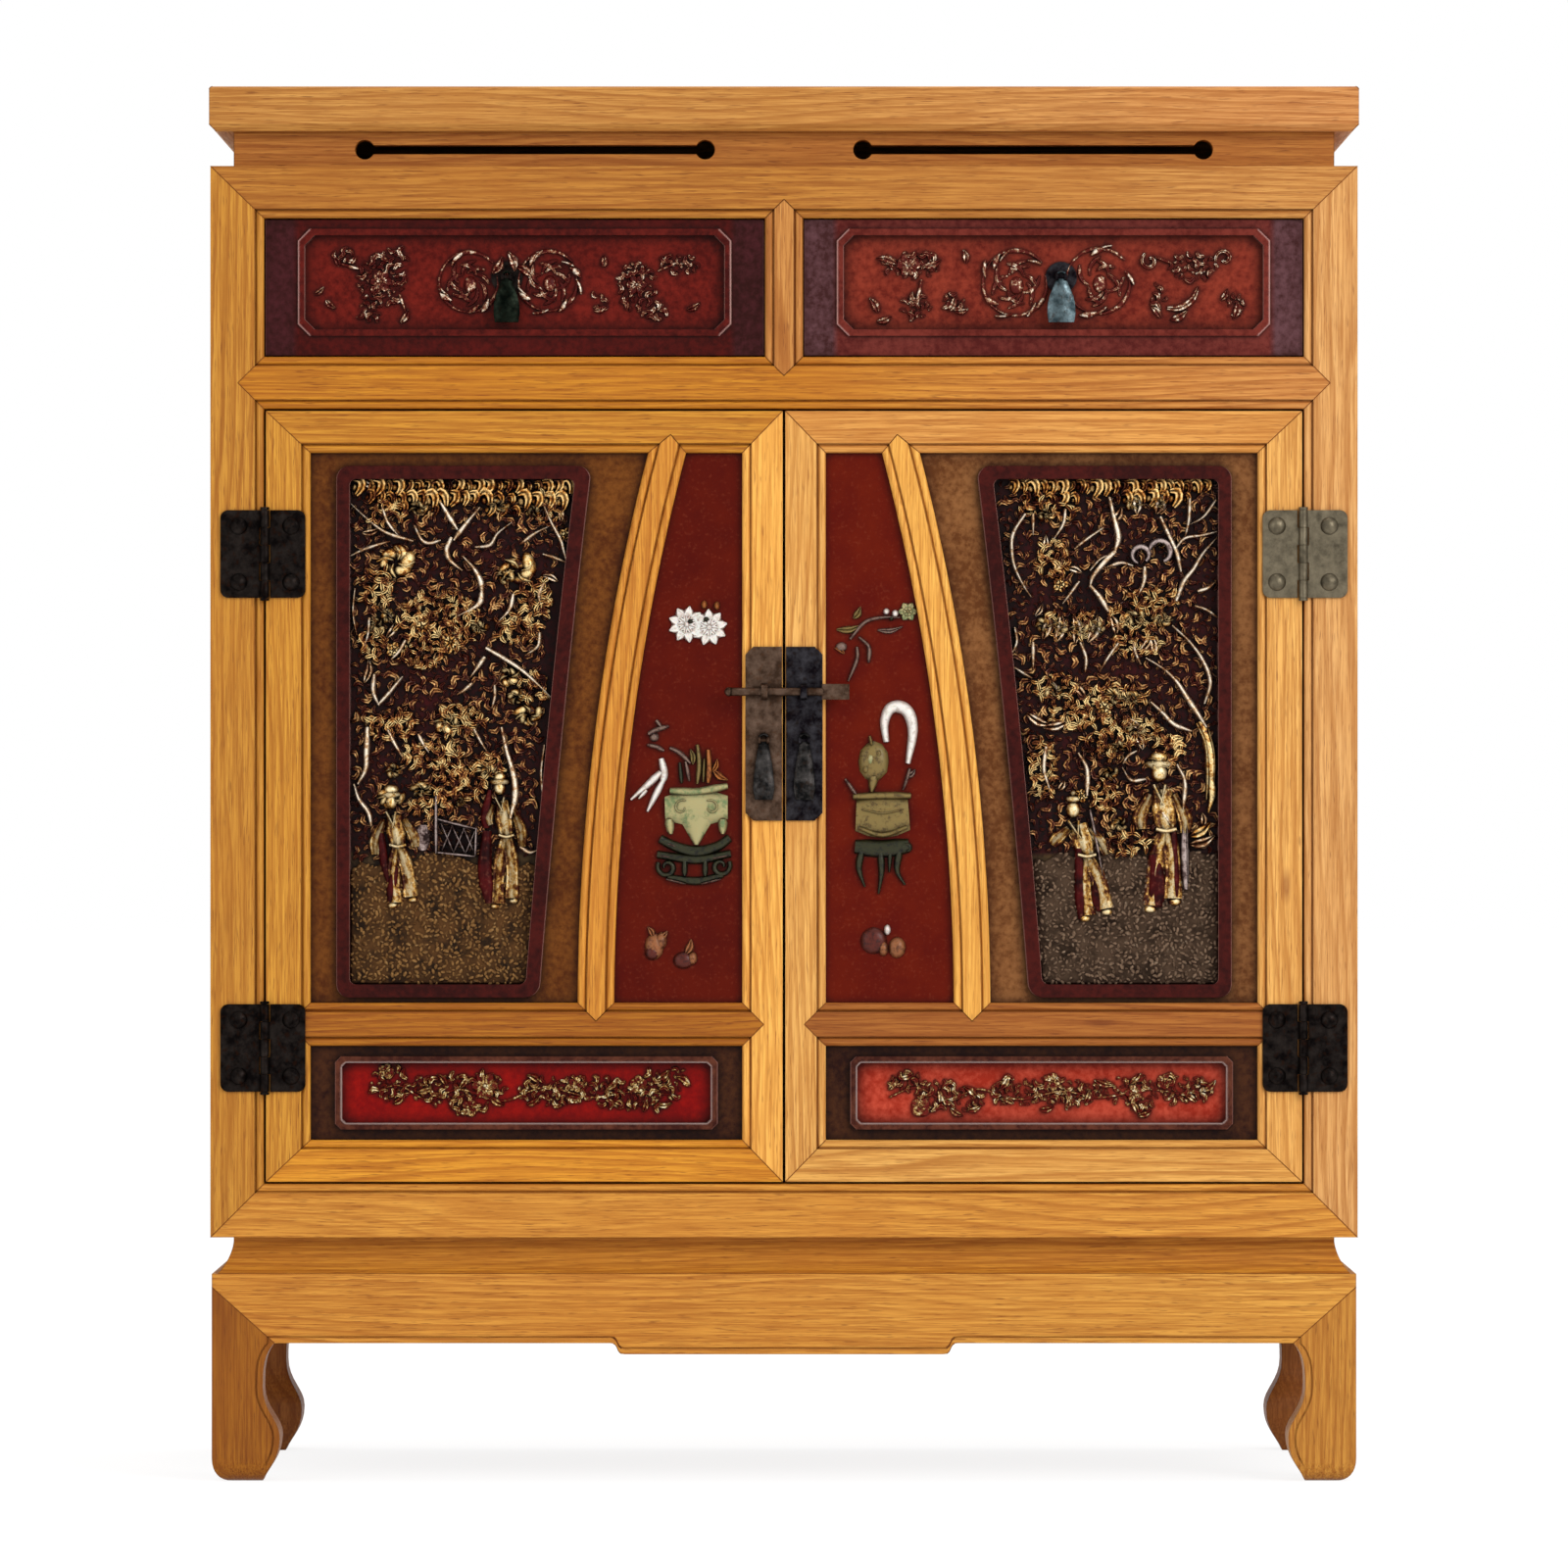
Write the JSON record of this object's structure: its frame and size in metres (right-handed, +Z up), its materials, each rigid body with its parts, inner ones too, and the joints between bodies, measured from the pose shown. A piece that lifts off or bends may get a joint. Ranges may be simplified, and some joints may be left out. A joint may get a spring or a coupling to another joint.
{
  "type": "console cabinet",
  "caption": "Chinese elm console cabinet on hoof legs, with drawers over panelled doors, curved uprights, carved and inlaid panels, hinges and a sliding lock pin.",
  "frame": {"origin": "on the floor, under the middle of the whole object's width and depth, hardware included", "axes": "+Z up, the doors and drawers face -Y, +X to the right seen from the front"},
  "size_m": [0.88, 0.436, 1.068],
  "materials": {
    "elm": "waxed honey elm with open grain",
    "elm_dark": "waxed elm in shade, a darker brown",
    "maroon_lacquer": "old maroon lacquer over wood, worn at the edges",
    "red_lacquer": "brick red lacquer, satin",
    "brown_lacquer": "mottled brown and olive lacquer",
    "bright_red_lacquer": "bright red lacquer",
    "iron": "forged iron with a dark oiled patina",
    "stone": "carved jade and soapstone, polished"
  },
  "bodies": {
    "cabinet": {"top_frame": "elm", "top_panel": "elm", "upper_waist_front": "elm_dark", "upper_waist_sides_back": "elm_dark", "post_front_left": "elm", "post_front_right": "elm", "post_back_left": "elm", "post_back_right": "elm", "front_top_rail": "elm", "front_middle_rail": "elm", "front_bottom_rail": "elm", "drawer_divider": "elm", "side_rails": "elm", "side_panels": "elm", "back_rails": "elm_dark", "back_panels": "elm_dark", "floor_board": "elm_dark", "shelf": "elm_dark", "drawer_runners": "elm_dark", "lower_waist": "elm_dark", "leg_front_left": "elm", "leg_front_right": "elm", "leg_back_left": "elm", "leg_back_right": "elm", "apron_front": "elm", "apron_back": "elm", "aprons_side": "elm", "hinge_case_leaves": "iron", "hinge_case_nails": "iron"},
    "drawer_left": {"drawer_left_front": "maroon_lacquer", "drawer_left_box": "elm_dark", "drawer_left_pull_plate": "iron"},
    "drawer_right": {"drawer_right_front": "maroon_lacquer", "drawer_right_box": "elm_dark", "drawer_right_pull_plate": "iron"},
    "door_left": {"door_left_stiles": "elm", "door_left_rails": "elm", "door_left_mullion": "elm", "door_left_carved_panel": "brown_lacquer", "door_left_lacquer_panel": "red_lacquer", "door_left_lower_panel": "bright_red_lacquer", "door_left_inlays": "stone", "door_left_lock_plate": "iron", "hinge_door_leaves_left": "iron", "hinge_door_nails_left": "iron"},
    "door_right": {"door_right_stiles": "elm", "door_right_rails": "elm", "door_right_mullion": "elm", "door_right_carved_panel": "brown_lacquer", "door_right_lacquer_panel": "red_lacquer", "door_right_lower_panel": "bright_red_lacquer", "door_right_inlays": "stone", "door_right_lock_plate": "iron", "hinge_door_leaves_right": "iron", "hinge_door_nails_right": "iron"},
    "drawer_left_pull": {"drawer_left_pull": "iron"},
    "drawer_right_pull": {"drawer_right_pull": "iron"},
    "door_left_pull": {"door_left_pull": "iron"},
    "door_right_pull": {"door_right_pull": "iron"},
    "lock_pin": {"lock_pin": "iron"}
  },
  "joints": [
    {"name": "drawer_left_slide", "type": "slide", "parent": "cabinet", "child": "drawer_left", "axis": [0, -1, 0], "range_m": [0, 0.28]},
    {"name": "drawer_right_slide", "type": "slide", "parent": "cabinet", "child": "drawer_right", "axis": [0, -1, 0], "range_m": [0, 0.28]},
    {"name": "door_left_hinge", "type": "hinge", "parent": "cabinet", "child": "door_left", "pos_m": [-0.39725, -0.2068, 0.52], "axis": [0, 0, -1], "range_deg": [0, 160]},
    {"name": "door_right_hinge", "type": "hinge", "parent": "cabinet", "child": "door_right", "pos_m": [0.39725, -0.2068, 0.52], "axis": [0, 0, 1], "range_deg": [0, 160]},
    {"name": "drawer_left_pull_swing", "type": "hinge", "parent": "drawer_left", "child": "drawer_left_pull", "pos_m": [-0.21225, -0.2065, 0.922], "axis": [-1, 0, 0], "range_deg": [0, 110]},
    {"name": "drawer_right_pull_swing", "type": "hinge", "parent": "drawer_right", "child": "drawer_right_pull", "pos_m": [0.21225, -0.2065, 0.922], "axis": [-1, 0, 0], "range_deg": [0, 110]},
    {"name": "door_left_pull_swing", "type": "hinge", "parent": "door_left", "child": "door_left_pull", "pos_m": [-0.0155, -0.2095, 0.5675], "axis": [-1, 0, 0], "range_deg": [0, 110]},
    {"name": "door_right_pull_swing", "type": "hinge", "parent": "door_right", "child": "door_right_pull", "pos_m": [0.0155, -0.2095, 0.5675], "axis": [-1, 0, 0], "range_deg": [0, 110]},
    {"name": "lock_pin_slide", "type": "slide", "parent": "door_right", "child": "lock_pin", "axis": [1, 0, 0], "range_m": [0, 0.05]}
  ]
}
